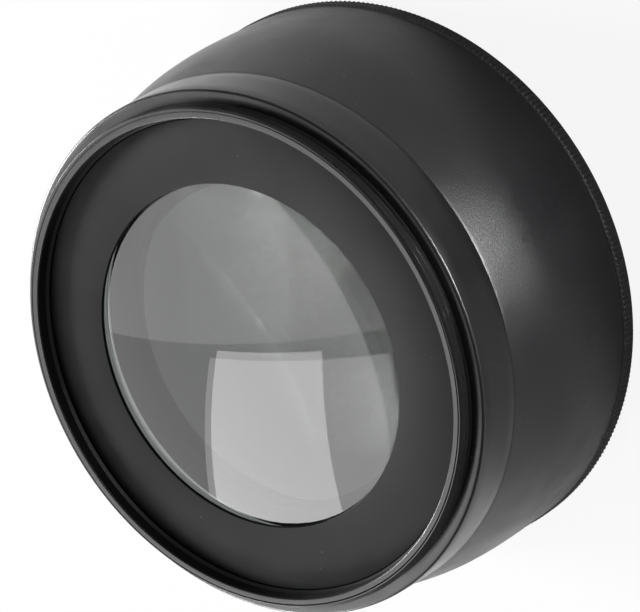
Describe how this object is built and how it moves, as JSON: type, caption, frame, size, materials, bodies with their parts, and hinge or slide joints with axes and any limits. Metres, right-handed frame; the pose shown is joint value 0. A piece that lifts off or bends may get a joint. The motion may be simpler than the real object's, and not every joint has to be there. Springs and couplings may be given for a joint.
{
  "type": "wide-angle conversion lens",
  "caption": "Round black conversion lens that screws onto a camera lens to widen its view: flared barrel, knurled front rim, convex rear glass in a flat plate, male rear thread.",
  "frame": {"origin": "centre of the front rim, on the surface the lens stands on", "axes": "+Z along the optical axis from the front rim up to the rear thread; X and Y are any two directions square to it"},
  "size_m": [0.0654, 0.0654, 0.0293],
  "materials": {
    "blasted_black": "sand-blasted black anodised aluminium",
    "turned_black": "fine-turned satin black anodised aluminium",
    "knurled_black": "knurled black anodised aluminium",
    "plate_black": "fine matt black anodised aluminium",
    "matt_black": "dead matt black anodised aluminium",
    "optical_glass": "polished, coated optical glass",
    "seal_rubber": "matt black rubber",
    "black_film": "matt black plastic film"
  },
  "bodies": {
    "root": {"front_ring": "knurled_black", "front_retaining_ring": "matt_black", "front_seal": "seal_rubber", "front_element": "optical_glass", "front_shim": "black_film", "main_barrel": "blasted_black", "stop_baffle": "matt_black", "spigot_washer": "black_film", "rear_cell": "matt_black", "middle_element": "optical_glass", "middle_spacer": "matt_black", "rear_flint_element": "optical_glass", "rear_crown_element": "optical_glass", "rear_seal": "seal_rubber", "rear_plate": "plate_black", "rear_mount_ring": "turned_black"}
  },
  "joints": []
}
